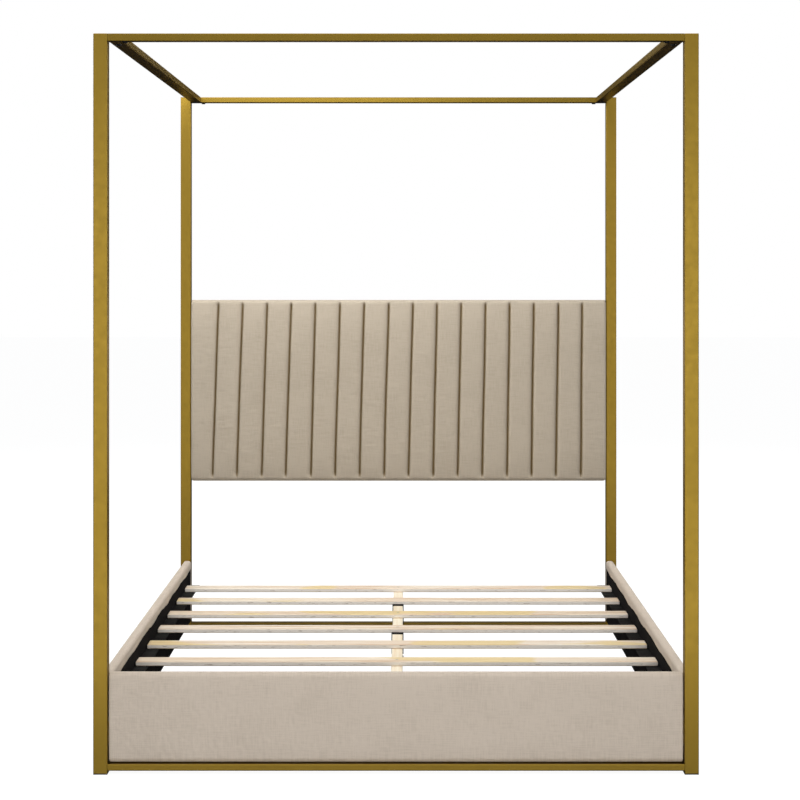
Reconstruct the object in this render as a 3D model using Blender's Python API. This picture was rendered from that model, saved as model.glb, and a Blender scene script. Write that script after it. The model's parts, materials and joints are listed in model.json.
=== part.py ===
"""Queen size four poster canopy bed.

A box-section steel frame holds an upholstered headboard, footboard and side rails, and a
slatted base with a centre beam on two adjustable legs. Metres, +Z up. The origin is on the
floor under the middle of the bed. The foot end faces -Y, and +X is on the right of someone
who looks at the foot end.
"""

import math

import bmesh
import bpy

# ---------------------------------------------------------------- driving dimensions
WIDTH = 1.618  # across the outer faces of the posts
LENGTH = 2.150  # from the foot face of the front posts to the head face of the rear posts
HEIGHT = 1.980  # floor to the top of the posts

POST = 0.038  # side of the square post tube
WALL = 0.0015  # wall of every steel tube
TUBE_RADIUS = 0.002  # outer corner radius of every steel tube
BEAM_HEIGHT = 0.020  # height of the canopy tubes, whose width is POST
BOTTOM_RAIL_HEIGHT = 0.018
BOTTOM_RAIL_LOW = 0.010  # underside of the bottom rails above the floor
GAP = 0.0003  # clearance between pieces that touch
WELD_SINK = 0.0009  # how far a welded piece reaches into the wall it is welded to
POST_TOP_BEVEL = 0.001

FOOT_LIP = 0.003  # the part of a post foot that shows under the post
FOOT_PLUG = 0.022  # the part that is pushed into the post

STUB_LENGTH = 0.070  # welded stub that a beam slides on
STUB_BOLT = 0.045  # bolt's distance from the root of its stub
TAB_LENGTH = 0.055  # welded tab that a board is bolted to
TAB_HEIGHT = 0.060
TAB_THICK = 0.003
TAB_BOLT = 0.030  # bolt's distance from the root of its tab
NOTCH_DEPTH = 0.008  # room in the padding over a tab

BOARD = 0.016  # thickness of the headboard, footboard and side boards
RAIL_THICK = 0.031  # side rail or footboard with its padding
RAIL_ROUND = 0.011  # radius of the padding's top edges
RAIL_LOW = 0.036  # underside of the side rails
SIDE_RAIL_TOP = 0.259
FOOTBOARD_LOW = 0.031
FOOTBOARD_TOP = 0.270
TOP_PADDING = 0.011  # padding over the top edge of a board
LOW_BOLT_Z = 0.110  # height of the footboard and side rail bolts

HEADBOARD_LOW = 0.556
HEADBOARD_TOP = 1.227
HEADBOARD_PAD = 0.030
HEADBOARD_FRONT = LENGTH / 2 - 0.057  # front of the headboard's padding
HEADBOARD_BOLT_ZS = (0.700, 1.080)
PANEL_EDGE = 0.0015  # gap between a post and the end of a panel
WRAP = 0.002  # room for the linen that wraps round the headboard's board
BACK_CLOTH = 0.0015
CLOTH_MARGIN = 0.012  # the back cloth stops this far short of the headboard's edges

SLAT_TOP = 0.194
SLAT_THICK = 0.013
SLAT_WIDTH = 0.070
SLAT_COUNT = 7
SLAT_PITCH = 0.266
FIRST_SLAT_Y = -0.760
WOOD_BEVEL = 0.002
SLAT_END_GAP = 0.003
SCREWED_SLATS = (2, 4, 5, 7)

LEDGE_WIDTH = 0.040
LEDGE_HEIGHT = 0.036
LEDGE_THICK = 0.0025
LEDGE_LENGTH = 1.920

CENTRE_BEAM_WIDTH = 0.033
CENTRE_BEAM_HEIGHT = 0.060
CENTRE_BEAM_OVERHANG = 0.020  # past the last slat
HANGER_DEPTH = 0.040
HANGER_HEIGHT = 0.045
STRAP = 0.002  # sheet steel of the hanger
LEG_RING = 0.022  # length of a leg's ring along the centre beam
LEG_RING_THICK = 0.0025
LEG_SIDE = 0.025
LEG_LOW = 0.025  # underside of a centre leg
LEG_END_PLATE = 0.006
LEG_CLEARANCE = 0.001  # between a leg's ring and the slat behind it
LEGS_BY_SLATS = (4, 6)  # each leg stands on the foot side of this slat

LEVELLER_PAD_RADIUS = 0.019
LEVELLER_PAD_HEIGHT = 0.008
LEVELLER_BEVEL = 0.002
LEVELLER_STEM_RADIUS = 0.004
LEVELLER_TOP = 0.060

BOLT_RADIUS = 0.004
BOLT_HEAD_RADIUS = 0.007
BOLT_HEAD = 0.004
BOLT_BEVEL = 0.001
BOLT_SHANK = 0.022
SOCKET_RADIUS = 0.0028  # corner radius of the hexagon socket in a bolt's head
SOCKET_DEPTH = 0.0024
STUB_BOLT_SHANK = 0.010
STUB_HOLE = 0.011  # how far a stub bolt's hole goes up from a beam's underside
SCREW_RADIUS = 0.002
SCREW_HEAD_RADIUS = 0.0045
SCREW_HEAD = 0.003
SCREW_LENGTH = 0.040
SCREW_HOLE_SPARE = 0.001  # how much deeper than its screw a blind hole is
HOLE_CLEARANCE = 0.0003  # added to a bolt's radius

ROUND_SIDES = 12
TUBE_CORNER_STEPS = 2  # facets round a tube's corner
PAD_CORNER_STEPS = 4  # facets round the edge of padding
SMOOTH_ANGLE = math.radians(35)  # edges flatter than this are shaded smooth

# ---------------------------------------------------------------- derived dimensions
INNER_X = WIDTH / 2 - POST  # inner faces of the posts
INNER_Y = LENGTH / 2 - POST
POST_X = WIDTH / 2 - POST / 2
POST_Y = LENGTH / 2 - POST / 2
CANOPY_RAIL_X = INNER_X - POST / 2
BEAM_LOW = HEIGHT - BEAM_HEIGHT
SLAT_LOW = SLAT_TOP - SLAT_THICK
CENTRE_BEAM_TOP = SLAT_LOW - GAP
CENTRE_BEAM_LOW = CENTRE_BEAM_TOP - CENTRE_BEAM_HEIGHT
LAST_SLAT_Y = FIRST_SLAT_Y + (SLAT_COUNT - 1) * SLAT_PITCH
HEADBOARD_Y = HEADBOARD_FRONT + HEADBOARD_PAD + GAP  # front face of the headboard's board

SIDES = {"left": -1, "right": 1}
ENDS = {"front": -1, "rear": 1}

# The rotation that points +Z along each axis.
TURNS = {
    "+X": (0, math.pi / 2, 0),
    "-X": (0, -math.pi / 2, 0),
    "+Y": (-math.pi / 2, 0, 0),
    "-Y": (math.pi / 2, 0, 0),
    "+Z": (0, 0, 0),
    "-Z": (math.pi, 0, 0),
}


# ---------------------------------------------------------------- materials
def make_material(name, colour, roughness, metallic=0.0):
    material = bpy.data.materials.new(name)
    material.use_nodes = True
    shader = material.node_tree.nodes["Principled BSDF"]
    shader.inputs["Base Color"].default_value = (*colour, 1.0)
    shader.inputs["Roughness"].default_value = roughness
    shader.inputs["Metallic"].default_value = metallic
    material.diffuse_color = (*colour, 1.0)
    return material


def make_materials():
    return {
        "gold": make_material("gold_metal", (0.42, 0.28, 0.055), 0.38, 0.9),
        "black_steel": make_material("black_steel", (0.012, 0.012, 0.012), 0.45, 0.4),
        "black_plastic": make_material("black_plastic", (0.015, 0.015, 0.015), 0.6),
        "board": make_material("lined_board", (0.014, 0.013, 0.013), 0.9),
        "linen": make_material("beige_linen", (0.50, 0.43, 0.35), 0.9),
        "plywood": make_material("slat_plywood", (0.80, 0.66, 0.48), 0.6),
        "pine": make_material("pine", (0.78, 0.60, 0.34), 0.6),
    }


# ---------------------------------------------------------------- shape helpers
def clear_scene():
    for obj in list(bpy.data.objects):
        bpy.data.objects.remove(obj, do_unlink=True)


def add_object(name, shape, material=None, location=(0.0, 0.0, 0.0)):
    """A new object that owns the bmesh's shape, whose faces are turned outwards."""
    bmesh.ops.recalc_face_normals(shape, faces=shape.faces)
    mesh = bpy.data.meshes.new(name)
    shape.to_mesh(mesh)
    shape.free()
    if material:
        mesh.materials.append(material)
    obj = bpy.data.objects.new(name, mesh)
    obj.location = location
    bpy.context.scene.collection.objects.link(obj)
    return obj


def hide_helper(obj):
    obj.hide_render = True
    obj.display_type = "WIRE"
    return obj


def shade_round(obj):
    obj.data.shade_smooth()
    obj.data.set_sharp_from_angle(angle=SMOOTH_ANGLE)
    return obj


def bridge_rings(shape, rings, capped=True):
    """Skins the rings of vertices in turn, and closes the first and the last one."""
    for lower, upper in zip(rings, rings[1:]):
        for i, vertex in enumerate(lower):
            after = (i + 1) % len(lower)
            shape.faces.new((vertex, lower[after], upper[after], upper[i]))
    if capped:
        shape.faces.new(rings[0])
        shape.faces.new(rings[-1])


def add_block(name, low, high, material=None, bevel=0.0):
    """A box between two corners, with its edges bevelled."""
    size = [b - a for a, b in zip(low, high)]
    centre = [(a + b) / 2 for a, b in zip(low, high)]
    shape = bmesh.new()
    bmesh.ops.create_cube(shape, size=1.0)
    bmesh.ops.scale(shape, vec=size, verts=shape.verts)
    obj = add_object(name, shape, material, centre)
    if bevel:
        modifier = obj.modifiers.new("Edges", "BEVEL")
        modifier.width = bevel
        modifier.segments = 1
    return obj


def rounded_rectangle(half_width, half_height, radius):
    """The points of a rectangle with rounded corners, anticlockwise."""
    points = []
    for corner in range(4):
        turn = math.radians(90 * corner)
        centre_u = (half_width - radius) * (1 if corner in (0, 3) else -1)
        centre_v = (half_height - radius) * (1 if corner in (0, 1) else -1)
        for step in range(TUBE_CORNER_STEPS + 1):
            angle = turn + math.radians(90) * step / TUBE_CORNER_STEPS
            points.append((centre_u + radius * math.cos(angle), centre_v + radius * math.sin(angle)))
    return points


def along(axis, u, v, w):
    """The point at w along the axis, and at u and v on the other two axes in order."""
    return {"X": (w, u, v), "Y": (u, w, v), "Z": (u, v, w)}[axis]


def add_ring(shape, axis, outline, w):
    """The outline as a ring of vertices at w along the axis."""
    return [shape.verts.new(along(axis, u, v, w)) for u, v in outline]


def add_tube(name, axis, centre, width, height, length, material=None):
    """A rectangular tube, open at both ends. Width and height follow along()'s u and v."""
    shape = bmesh.new()
    outer = rounded_rectangle(width / 2, height / 2, TUBE_RADIUS)
    inner = rounded_rectangle(width / 2 - WALL, height / 2 - WALL, TUBE_RADIUS - WALL + GAP)
    half = length / 2
    stations = ((outer, -half), (outer, half), (inner, half), (inner, -half))
    rings = [add_ring(shape, axis, outline, w) for outline, w in stations]
    bridge_rings(shape, [*rings, rings[0]], capped=False)
    return add_object(name, shape, material, centre)


def add_post_tube(name, centre, length, material):
    """A square tube that stands up, open at the bottom and closed by a welded cap on top."""
    shape = bmesh.new()
    half = length / 2
    outer = rounded_rectangle(POST / 2, POST / 2, TUBE_RADIUS)
    inner = rounded_rectangle(POST / 2 - WALL, POST / 2 - WALL, TUBE_RADIUS - WALL + GAP)
    shrink = 1 - 2 * POST_TOP_BEVEL / POST
    top = [(u * shrink, v * shrink) for u, v in outer]
    outside = ((top, half), (outer, half - POST_TOP_BEVEL), (outer, -half))
    inside = ((inner, -half), (inner, half - WALL))
    bridge_rings(shape, [add_ring(shape, "Z", outline, w) for outline, w in outside + inside])
    return add_object(name, shape, material, centre)


def add_turned(name, profile, sides, material=None, location=(0.0, 0.0, 0.0), start_angle=0.0):
    """A solid whose cross-section at each height of the profile is a regular polygon."""
    shape = bmesh.new()
    rings = []
    for radius, z in profile:
        angles = [start_angle + 2 * math.pi * i / sides for i in range(sides)]
        rings.append([shape.verts.new((radius * math.cos(a), radius * math.sin(a), z)) for a in angles])
    bridge_rings(shape, rings)
    return add_object(name, shape, material, location)


def add_extrusion(name, axis, outline, length, material, centre):
    """A solid with this outline all along the axis."""
    shape = bmesh.new()
    bridge_rings(shape, [add_ring(shape, axis, outline, w) for w in (-length / 2, length / 2)])
    return add_object(name, shape, material, centre)


def combine(obj, helper, operation):
    """Adds the helper to the object or takes it away, with a Boolean modifier."""
    modifier = obj.modifiers.new(operation.title(), "BOOLEAN")
    modifier.operation = operation
    modifier.solver = "EXACT"
    modifier.object = hide_helper(helper)


def add_cutting_rod(name, start, axis, length, radius):
    """A rod from the start point along an axis, given as a letter with its sign."""
    rod = add_turned(name, [(radius, 0.0), (radius, length)], ROUND_SIDES, location=start)
    rod.rotation_euler = TURNS[axis]
    return rod


def drill(targets, name, start, axis, length, radius=BOLT_RADIUS + HOLE_CLEARANCE):
    """One hole through all of the targets."""
    rod = add_cutting_rod(name, start, axis, length, radius)
    for target in targets:
        combine(target, rod, "DIFFERENCE")


def make_bolt_mesh(name, shank, material):
    """A socket-head bolt along +Z: the shank points up and the head hangs below z = 0."""
    profile = [
        (BOLT_HEAD_RADIUS - BOLT_BEVEL, -BOLT_HEAD),
        (BOLT_HEAD_RADIUS, -BOLT_HEAD + BOLT_BEVEL),
        (BOLT_HEAD_RADIUS, 0.0),
        (BOLT_RADIUS, 0.0),
        (BOLT_RADIUS, shank),
    ]
    bolt = add_turned(name, profile, ROUND_SIDES, material)
    socket_profile = [(SOCKET_RADIUS, -2 * BOLT_HEAD), (SOCKET_RADIUS, SOCKET_DEPTH - BOLT_HEAD)]
    socket = add_turned(name + "_socket", socket_profile, 6)
    combine(bolt, socket, "DIFFERENCE")
    evaluated = bolt.evaluated_get(bpy.context.evaluated_depsgraph_get())
    mesh = bpy.data.meshes.new_from_object(evaluated)
    for used in (bolt, socket):
        bpy.data.objects.remove(used, do_unlink=True)
    return mesh


def add_bolt(name, mesh, location, axis):
    """A bolt whose head sits at the location, with its shank along the axis."""
    bolt = bpy.data.objects.new(name, mesh)
    bolt.location = location
    bolt.rotation_euler = TURNS[axis]
    bpy.context.scene.collection.objects.link(bolt)
    return shade_round(bolt)


# ---------------------------------------------------------------- steel frame
def add_stub(name, axis, root, direction, height):
    """A short tube that a beam slides on, from just inside the wall that it is welded to."""
    centre = list(root)
    centre["XY".index(axis)] += direction * (STUB_LENGTH - WELD_SINK) / 2
    inside = 2 * (WALL + GAP)
    return add_tube(name, axis, centre, POST - inside, height - inside, STUB_LENGTH + WELD_SINK)


def make_posts(materials):
    """Four posts, each with its welded stubs for the beams and its tabs for the boards."""
    posts = {}
    low = FOOT_LIP + GAP
    for end, sign_y in ENDS.items():
        for side, sign_x in SIDES.items():
            name = f"post_{end}_{side}"
            centre = (sign_x * POST_X, sign_y * POST_Y, (low + HEIGHT) / 2)
            post = add_post_tube(name, centre, HEIGHT - low, materials["gold"])
            beam_root = (sign_x * INNER_X, sign_y * POST_Y, BEAM_LOW + BEAM_HEIGHT / 2)
            rail_middle = BOTTOM_RAIL_LOW + BOTTOM_RAIL_HEIGHT / 2
            rail_root = (sign_x * INNER_X, sign_y * POST_Y, rail_middle)
            stubs = (
                add_stub(name + "_top_stub", "X", beam_root, -sign_x, BEAM_HEIGHT),
                add_stub(name + "_low_stub", "X", rail_root, -sign_x, BOTTOM_RAIL_HEIGHT),
            )
            for stub in stubs:
                combine(post, stub, "UNION")
            add_side_rail_tab(post, name, sign_x, sign_y)
            for z in (LOW_BOLT_Z,) if end == "front" else HEADBOARD_BOLT_ZS:
                add_panel_tab(post, f"{name}_tab_{z:.2f}", sign_x, sign_y, z)
            posts[end, side] = post
    return posts


def add_side_rail_tab(post, name, sign_x, sign_y):
    """A plate along Y that lies on the outer face of the side board."""
    near = INNER_X + BOARD + GAP
    xs = sorted((sign_x * near, sign_x * (near + TAB_THICK)))
    ys = sorted((sign_y * (INNER_Y + WELD_SINK), sign_y * (INNER_Y - TAB_LENGTH)))
    zs = (LOW_BOLT_Z - TAB_HEIGHT / 2, LOW_BOLT_Z + TAB_HEIGHT / 2)
    low, high = zip(xs, ys, zs)
    combine(post, add_block(name + "_rail_tab", low, high), "UNION")


def panel_face_y(sign_y):
    """Y of the padded face of the footboard's or the headboard's board."""
    return HEADBOARD_Y if sign_y > 0 else -(INNER_Y + BOARD)


def add_panel_tab(post, name, sign_x, sign_y, z):
    """A plate along X that lies on the padded face of the headboard or footboard."""
    face = panel_face_y(sign_y)
    ys = (face - GAP - TAB_THICK, face - GAP)
    xs = sorted((sign_x * (INNER_X + WELD_SINK), sign_x * (INNER_X - TAB_LENGTH)))
    zs = (z - TAB_HEIGHT / 2, z + TAB_HEIGHT / 2)
    low, high = zip(xs, ys, zs)
    combine(post, add_block(name, low, high), "UNION")


def make_post_feet(materials):
    plug = POST / 2 - WALL - GAP
    lip = POST / 2 - GAP
    profile = [
        (lip - GAP, 0.0),
        (lip, GAP),
        (lip, FOOT_LIP),
        (plug, FOOT_LIP),
        (plug, FOOT_LIP + FOOT_PLUG),
    ]
    corners = [(half * math.sqrt(2), z) for half, z in profile]
    for end, sign_y in ENDS.items():
        for side, sign_x in SIDES.items():
            location = (sign_x * POST_X, sign_y * POST_Y, 0.0)
            name = f"post_foot_{end}_{side}"
            add_turned(name, corners, 4, materials["black_plastic"], location, math.pi / 4)


def make_beams(materials):
    """The front and rear canopy beams, with welded stubs for the canopy rails."""
    beams = {}
    length = 2 * (INNER_X - GAP)
    for end, sign_y in ENDS.items():
        centre = (0.0, sign_y * POST_Y, BEAM_LOW + BEAM_HEIGHT / 2)
        name = f"{end}_top_beam"
        beam = add_tube(name, "X", centre, POST, BEAM_HEIGHT, length, materials["gold"])
        for side, sign_x in SIDES.items():
            root = (sign_x * CANOPY_RAIL_X, sign_y * INNER_Y, BEAM_LOW + BEAM_HEIGHT / 2)
            combine(beam, add_stub(f"{name}_{side}_stub", "Y", root, -sign_y, BEAM_HEIGHT), "UNION")
        beams[end] = beam
    return beams


def make_bottom_rails(materials):
    length = 2 * (INNER_X - GAP)
    for end, sign_y in ENDS.items():
        centre = (0.0, sign_y * POST_Y, BOTTOM_RAIL_LOW + BOTTOM_RAIL_HEIGHT / 2)
        name = f"{end}_bottom_rail"
        add_tube(name, "X", centre, POST, BOTTOM_RAIL_HEIGHT, length, materials["gold"])


def make_canopy_rails(materials):
    rails = {}
    length = 2 * (INNER_Y - GAP)
    for side, sign_x in SIDES.items():
        centre = (sign_x * CANOPY_RAIL_X, 0.0, BEAM_LOW + BEAM_HEIGHT / 2)
        name = f"canopy_rail_{side}"
        rails[side] = add_tube(name, "Y", centre, POST, BEAM_HEIGHT, length, materials["gold"])
    return rails


def make_stub_bolts(posts, beams, rails, materials):
    """Bolts that go up through a beam or a canopy rail into the stub inside it."""
    mesh = make_bolt_mesh("stub_bolt", STUB_BOLT_SHANK, materials["black_steel"])
    for end, sign_y in ENDS.items():
        for side, sign_x in SIDES.items():
            beam_at = (sign_x * (INNER_X - STUB_BOLT), sign_y * POST_Y)
            rail_at = (sign_x * CANOPY_RAIL_X, sign_y * (INNER_Y - STUB_BOLT))
            pairs = (
                (f"top_beam_bolt_{end}_{side}", beam_at, (posts[end, side], beams[end])),
                (f"canopy_rail_bolt_{end}_{side}", rail_at, (beams[end], rails[side])),
            )
            for name, (x, y), targets in pairs:
                start = (x, y, BEAM_LOW - BOLT_HEAD)
                drill(targets, name + "_hole", start, "+Z", BOLT_HEAD + STUB_HOLE)
                add_bolt(name, mesh, (x, y, BEAM_LOW - GAP), "+Z")


# ---------------------------------------------------------------- padded boards
def padded_edge_outline(inner, outer, low, top, board_top):
    """The L-shaped section of padding that covers a board's face and its top edge.

    Inner and outer are distances from the middle of the bed, as multiples of one sign.
    """
    sign = 1 if outer > inner else -1
    board_face = inner + sign * (BOARD + GAP)
    outline = [(board_face, low), (outer, low)]
    for corner, start in ((outer - sign * RAIL_ROUND, 0), (inner + sign * RAIL_ROUND, 90)):
        for step in range(PAD_CORNER_STEPS + 1):
            angle = math.radians(start + 90 * step / PAD_CORNER_STEPS)
            u = corner + sign * RAIL_ROUND * math.cos(angle)
            outline.append((u, top - RAIL_ROUND + RAIL_ROUND * math.sin(angle)))
    outline += [(inner, board_top), (board_face, board_top)]
    return outline


def make_side_rails(posts, materials):
    bolt = make_bolt_mesh("side_rail_bolt", BOLT_SHANK, materials["black_steel"])
    length = 2 * (INNER_Y - GAP)
    board_top = SIDE_RAIL_TOP - TOP_PADDING
    for side, sign_x in SIDES.items():
        xs = sorted((sign_x * INNER_X, sign_x * (INNER_X + BOARD)))
        low = (xs[0], -length / 2, RAIL_LOW)
        high = (xs[1], length / 2, board_top - GAP)
        board = add_block(f"side_rail_board_{side}", low, high, materials["board"])
        inner, outer = sign_x * INNER_X, sign_x * (INNER_X + RAIL_THICK)
        outline = padded_edge_outline(inner, outer, RAIL_LOW, SIDE_RAIL_TOP, board_top)
        name = f"side_rail_pad_{side}"
        pad = add_extrusion(name, "Y", outline, length, materials["linen"], (0.0, 0.0, 0.0))
        for end, sign_y in ENDS.items():
            cut_side_rail_notch(pad, f"{name}_{end}_notch", sign_x, sign_y)
            start = (sign_x * (INNER_X - BOLT_HEAD), sign_y * (INNER_Y - TAB_BOLT), LOW_BOLT_Z)
            axis = "+X" if sign_x > 0 else "-X"
            bolt_name = f"side_rail_bolt_{end}_{side}"
            hole_length = BOLT_HEAD + BOLT_SHANK
            drill((board, posts[end, side]), bolt_name + "_hole", start, axis, hole_length)
            add_bolt(bolt_name, bolt, (sign_x * (INNER_X - GAP), start[1], LOW_BOLT_Z), axis)


def cut_side_rail_notch(pad, name, sign_x, sign_y):
    """Room in the padding for the post's tab and the end of its bolt."""
    face = INNER_X + BOARD
    xs = sorted((sign_x * (face - GAP), sign_x * (face + NOTCH_DEPTH)))
    ys = sorted((sign_y * (INNER_Y + POST), sign_y * (INNER_Y - TAB_LENGTH - GAP)))
    zs = (LOW_BOLT_Z - TAB_HEIGHT / 2 - GAP, LOW_BOLT_Z + TAB_HEIGHT / 2 + GAP)
    low, high = zip(xs, ys, zs)
    combine(pad, add_block(name, low, high), "DIFFERENCE")


def cut_panel_notch(pad, name, sign_x, sign_y, z):
    """The same in the padding of the footboard or the headboard."""
    face = panel_face_y(sign_y)
    ys = (face - NOTCH_DEPTH, face + GAP)
    xs = sorted((sign_x * (INNER_X + POST), sign_x * (INNER_X - TAB_LENGTH - GAP)))
    zs = (z - TAB_HEIGHT / 2 - GAP, z + TAB_HEIGHT / 2 + GAP)
    low, high = zip(xs, ys, zs)
    combine(pad, add_block(name, low, high), "DIFFERENCE")


def make_footboard(posts, materials):
    bolt = make_bolt_mesh("footboard_bolt", BOLT_SHANK, materials["black_steel"])
    half = INNER_X - PANEL_EDGE
    board_top = FOOTBOARD_TOP - TOP_PADDING
    low = (-half, -INNER_Y - BOARD, FOOTBOARD_LOW)
    high = (half, -INNER_Y, board_top - GAP)
    board = add_block("footboard_panel", low, high, materials["board"])
    outline = padded_edge_outline(
        -INNER_Y, -INNER_Y - RAIL_THICK, FOOTBOARD_LOW, FOOTBOARD_TOP, board_top
    )
    pad = add_extrusion("footboard_pad", "X", outline, 2 * half, materials["linen"], (0.0, 0.0, 0.0))
    for side, sign_x in SIDES.items():
        cut_panel_notch(pad, f"footboard_pad_{side}_notch", sign_x, -1, LOW_BOLT_Z)
        start = (sign_x * (INNER_X - TAB_BOLT), -INNER_Y + BOLT_HEAD, LOW_BOLT_Z)
        name = f"footboard_bolt_{side}"
        drill((board, posts["front", side]), name + "_hole", start, "-Y", BOLT_HEAD + BOLT_SHANK)
        add_bolt(name, bolt, (start[0], -INNER_Y + GAP, LOW_BOLT_Z), "-Y")


def make_headboard(posts, materials):
    bolt = make_bolt_mesh("headboard_bolt", BOLT_SHANK, materials["black_steel"])
    half = INNER_X - PANEL_EDGE
    pad_low = (-half, HEADBOARD_FRONT, HEADBOARD_LOW)
    pad_high = (half, HEADBOARD_FRONT + HEADBOARD_PAD, HEADBOARD_TOP)
    pad = add_block("headboard_pad", pad_low, pad_high, materials["linen"])
    back = HEADBOARD_Y + BOARD
    board_low = (WRAP - half, HEADBOARD_Y, HEADBOARD_LOW + WRAP)
    board_high = (half - WRAP, back, HEADBOARD_TOP - WRAP)
    board = add_block("headboard_panel", board_low, board_high, materials["board"])
    cloth_low = (CLOTH_MARGIN - half, back + GAP, HEADBOARD_LOW + CLOTH_MARGIN)
    cloth_high = (half - CLOTH_MARGIN, back + GAP + BACK_CLOTH, HEADBOARD_TOP - CLOTH_MARGIN)
    cloth = add_block("headboard_back_cloth", cloth_low, cloth_high, materials["board"])
    head_y = cloth_high[1] + GAP
    for side, sign_x in SIDES.items():
        for level, z in zip(("lower", "upper"), HEADBOARD_BOLT_ZS):
            cut_panel_notch(pad, f"headboard_pad_{level}_{side}_notch", sign_x, 1, z)
            name = f"headboard_bolt_{level}_{side}"
            start = (sign_x * (INNER_X - TAB_BOLT), head_y + BOLT_HEAD, z)
            targets = (board, cloth, posts["rear", side])
            drill(targets, name + "_hole", start, "-Y", BOLT_HEAD + BOLT_SHANK)
            add_bolt(name, bolt, (start[0], head_y, z), "-Y")


# ---------------------------------------------------------------- slatted base
def slat_y(number):
    return FIRST_SLAT_Y + (number - 1) * SLAT_PITCH


def make_slats(materials):
    slats = {}
    half = INNER_X - SLAT_END_GAP
    for number in range(1, SLAT_COUNT + 1):
        middle = slat_y(number)
        low = (-half, middle - SLAT_WIDTH / 2, SLAT_LOW)
        high = (half, middle + SLAT_WIDTH / 2, SLAT_TOP)
        slats[number] = add_block(f"slat_{number}", low, high, materials["plywood"], WOOD_BEVEL)
    return slats


def make_ledges(materials):
    """Steel angles on the side boards, whose top faces carry the slats' ends."""
    top = SLAT_LOW - GAP
    for side, sign_x in SIDES.items():
        face = sign_x * (INNER_X - GAP)
        inward = -sign_x
        outline = [
            (face, top),
            (face + inward * LEDGE_WIDTH, top),
            (face + inward * LEDGE_WIDTH, top - LEDGE_THICK),
            (face + inward * LEDGE_THICK, top - LEDGE_THICK),
            (face + inward * LEDGE_THICK, top - LEDGE_HEIGHT),
            (face, top - LEDGE_HEIGHT),
        ]
        name = f"slat_ledge_{side}"
        add_extrusion(name, "Y", outline, LEDGE_LENGTH, materials["black_steel"], (0.0, 0.0, 0.0))


def make_centre_beam(slats, materials):
    half = CENTRE_BEAM_WIDTH / 2
    front = -INNER_Y + GAP + STRAP + GAP
    rear = LAST_SLAT_Y + SLAT_WIDTH / 2 + CENTRE_BEAM_OVERHANG
    low = (-half, front, CENTRE_BEAM_LOW)
    high = (half, rear, CENTRE_BEAM_TOP)
    beam = add_block("centre_beam", low, high, materials["pine"], WOOD_BEVEL)
    for number in SCREWED_SLATS:
        add_slat_screw(number, slats[number], beam, materials)


def add_slat_screw(number, slat, beam, materials):
    """A screw whose head is sunk flush with the top of the slat."""
    y = slat_y(number)
    profile = [
        (SCREW_RADIUS, -SCREW_LENGTH),
        (SCREW_RADIUS, -SCREW_HEAD),
        (SCREW_HEAD_RADIUS, -SCREW_HEAD),
        (SCREW_HEAD_RADIUS, 0.0),
    ]
    name = f"slat_screw_{number}"
    shade_round(add_turned(name, profile, ROUND_SIDES, materials["black_steel"], (0.0, y, SLAT_TOP)))
    above = (0.0, y, SLAT_TOP + SCREW_HEAD)
    sink = 2 * SCREW_HEAD + GAP
    drill((slat,), name + "_sink", above, "-Z", sink, SCREW_HEAD_RADIUS + HOLE_CLEARANCE)
    depth = SCREW_HEAD + SCREW_LENGTH + SCREW_HOLE_SPARE
    drill((slat, beam), name + "_hole", above, "-Z", depth, SCREW_RADIUS + HOLE_CLEARANCE)


def make_beam_hanger(materials):
    """The steel shoe on the footboard that holds the front end of the centre beam."""
    inside = CENTRE_BEAM_WIDTH / 2 + GAP
    front = -INNER_Y + GAP
    floor_z = CENTRE_BEAM_LOW - GAP
    low = (-inside - STRAP, front, floor_z - STRAP)
    high = (inside + STRAP, front + HANGER_DEPTH, floor_z + HANGER_HEIGHT)
    hanger = add_block("centre_beam_hanger", low, high, materials["black_steel"])
    pocket_low = (-inside, front + STRAP, floor_z)
    pocket_high = (inside, front + 2 * HANGER_DEPTH, floor_z + 2 * HANGER_HEIGHT)
    combine(hanger, add_block("hanger_pocket", pocket_low, pocket_high), "DIFFERENCE")


def make_centre_legs(materials):
    """Legs that clasp the centre beam with a ring and hold a levelling foot."""
    for index, number in enumerate(LEGS_BY_SLATS, start=1):
        rear = slat_y(number) - SLAT_WIDTH / 2 - LEG_CLEARANCE
        middle = rear - LEG_RING / 2
        inside = CENTRE_BEAM_WIDTH / 2 + GAP
        outside = inside + LEG_RING_THICK
        ring_low = CENTRE_BEAM_LOW - GAP - LEG_RING_THICK
        ring_high = CENTRE_BEAM_TOP + GAP + LEG_RING_THICK
        name = f"centre_leg_{index}"
        low = (-outside, rear - LEG_RING, ring_low)
        leg = add_block(name, low, (outside, rear, ring_high), materials["black_steel"])
        window_low = (-inside, rear - 2 * LEG_RING, CENTRE_BEAM_LOW - GAP)
        window_high = (inside, rear + LEG_RING, CENTRE_BEAM_TOP + GAP)
        combine(leg, add_block(name + "_window", window_low, window_high), "DIFFERENCE")
        shaft_low = (-LEG_SIDE / 2, middle - LEG_SIDE / 2, LEG_LOW)
        shaft_high = (LEG_SIDE / 2, middle + LEG_SIDE / 2, ring_low + LEG_RING_THICK / 2)
        combine(leg, add_block(name + "_shaft", shaft_low, shaft_high), "UNION")
        hollow = LEG_SIDE / 2 - WALL
        hollow_low = (-hollow, middle - hollow, LEG_LOW + LEG_END_PLATE)
        hollow_high = (hollow, middle + hollow, ring_low - WALL)
        combine(leg, add_block(name + "_hollow", hollow_low, hollow_high), "DIFFERENCE")
        bore = LEVELLER_STEM_RADIUS + HOLE_CLEARANCE
        drill((leg,), name + "_bore", (0.0, middle, 0.0), "+Z", LEG_LOW + 2 * LEG_END_PLATE, bore)
        add_leveller(index, middle, materials)


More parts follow.
